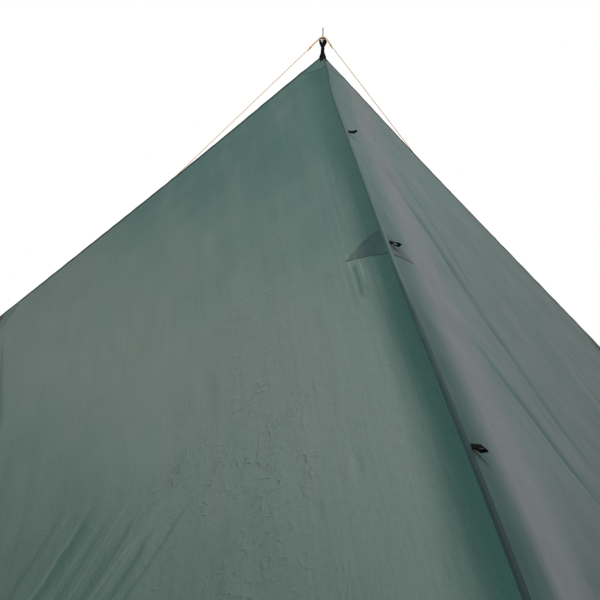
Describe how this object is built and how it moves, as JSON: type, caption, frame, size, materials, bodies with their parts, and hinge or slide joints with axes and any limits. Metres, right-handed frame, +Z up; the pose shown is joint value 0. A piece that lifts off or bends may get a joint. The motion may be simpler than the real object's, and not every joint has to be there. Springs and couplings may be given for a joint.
{
  "type": "camping tarp",
  "caption": "Square camping tarp pitched as a lean-to over a telescopic pole, with a ridge seam, webbing loops, sewn reinforcement patches and guylines from the pole's tip.",
  "frame": {"origin": "middle of the pole foot's flat underside, on the ground", "axes": "+Z up, +Y towards the open front, away from the low rear edge, +X to the right panel"},
  "size_m": [2.2876, 3.2345, 2.3183],
  "materials": {
    "cloth": "coated ripstop cloth, slight sheen",
    "cloth_dark": "doubled coated cloth",
    "webbing": "woven black webbing",
    "aluminium": "anodised satin",
    "steel": "turned, dull",
    "plastic": "moulded, fine grain",
    "rubber": "moulded rubber",
    "cord": "braided cord"
  },
  "bodies": {
    "tarp": {"left_panel": "cloth", "right_panel": "cloth", "ridge_seam": "cloth_dark", "front_hem_left": "cloth_dark", "front_hem_right": "cloth_dark", "side_hem_left": "cloth_dark", "side_hem_right": "cloth_dark", "rear_hem_left": "cloth_dark", "rear_hem_right": "cloth_dark", "apex_patch_left": "cloth_dark", "apex_patch_right": "cloth_dark", "centre_patch_left": "cloth_dark", "centre_patch_right": "cloth_dark", "rear_patch_left": "cloth_dark", "rear_patch_right": "cloth_dark", "front_corner_patch_left": "cloth_dark", "front_corner_patch_right": "cloth_dark", "rear_corner_patch_left": "cloth_dark", "rear_corner_patch_right": "cloth_dark", "front_corner_loop_left": "webbing", "front_corner_loop_right": "webbing", "rear_corner_loop_left": "webbing", "rear_corner_loop_right": "webbing", "rear_ridge_loop": "webbing", "apex_loop": "webbing", "guyline_left": "cord", "guyline_right": "cord", "pole_tip": "steel", "pole_upper_tube": "aluminium", "upper_guide_bush": "plastic"},
    "middle_section": {"pole_middle_tube": "aluminium", "lower_guide_bush": "plastic", "upper_clamp_body": "plastic", "upper_clamp_pin": "steel", "upper_clamp_screw": "steel"},
    "lower_section": {"pole_lower_tube": "aluminium", "pole_foot": "rubber", "lower_clamp_body": "plastic", "lower_clamp_pin": "steel", "lower_clamp_screw": "steel"},
    "upper_lever": {"upper_clamp_lever": "plastic"},
    "lower_lever": {"lower_clamp_lever": "plastic"},
    "first_ridge_loop": {"ridge_loop_1": "webbing"},
    "second_ridge_loop": {"ridge_loop_2": "webbing"},
    "third_ridge_loop": {"ridge_loop_3": "webbing"},
    "left_line_slider": {"line_slider_left": "aluminium"},
    "right_line_slider": {"line_slider_right": "aluminium"}
  },
  "joints": [
    {"name": "middle_section_slide", "type": "slide", "parent": "tarp", "child": "middle_section", "axis": [0, 0, 1], "range_m": [0, 0.6]},
    {"name": "lower_section_slide", "type": "slide", "parent": "middle_section", "child": "lower_section", "axis": [0, 0, 1], "range_m": [0, 0.56]},
    {"name": "upper_lever_hinge", "type": "hinge", "parent": "middle_section", "child": "upper_lever", "pos_m": [0.0198, 0.00792, 1.5243], "axis": [0, 0, -1], "range_deg": [0, 100]},
    {"name": "lower_lever_hinge", "type": "hinge", "parent": "lower_section", "child": "lower_lever", "pos_m": [0.0213, 0.00792, 0.8043], "axis": [0, 0, -1], "range_deg": [0, 100]},
    {"name": "first_ridge_loop_hinge", "type": "hinge", "parent": "tarp", "child": "first_ridge_loop", "pos_m": [0.00051, -0.69068, 1.88942], "axis": [0, -0.9063, -0.4226], "range_deg": [0, 90]},
    {"name": "second_ridge_loop_hinge", "type": "hinge", "parent": "tarp", "child": "second_ridge_loop", "pos_m": [0.00105, -1.37066, 1.573], "axis": [0, -0.9063, -0.4226], "range_deg": [0, 90]},
    {"name": "third_ridge_loop_hinge", "type": "hinge", "parent": "tarp", "child": "third_ridge_loop", "pos_m": [0.00881, -2.05014, 1.2555], "axis": [0, -0.9063, -0.4226], "range_deg": [0, 90]},
    {"name": "left_line_slider_slide", "type": "slide", "parent": "tarp", "child": "left_line_slider", "axis": [0.6587, -0.403, 0.6353], "range_m": [-0.045, 0.04]},
    {"name": "right_line_slider_slide", "type": "slide", "parent": "tarp", "child": "right_line_slider", "axis": [-0.6585, -0.4029, 0.6357], "range_m": [-0.045, 0.04]}
  ]
}
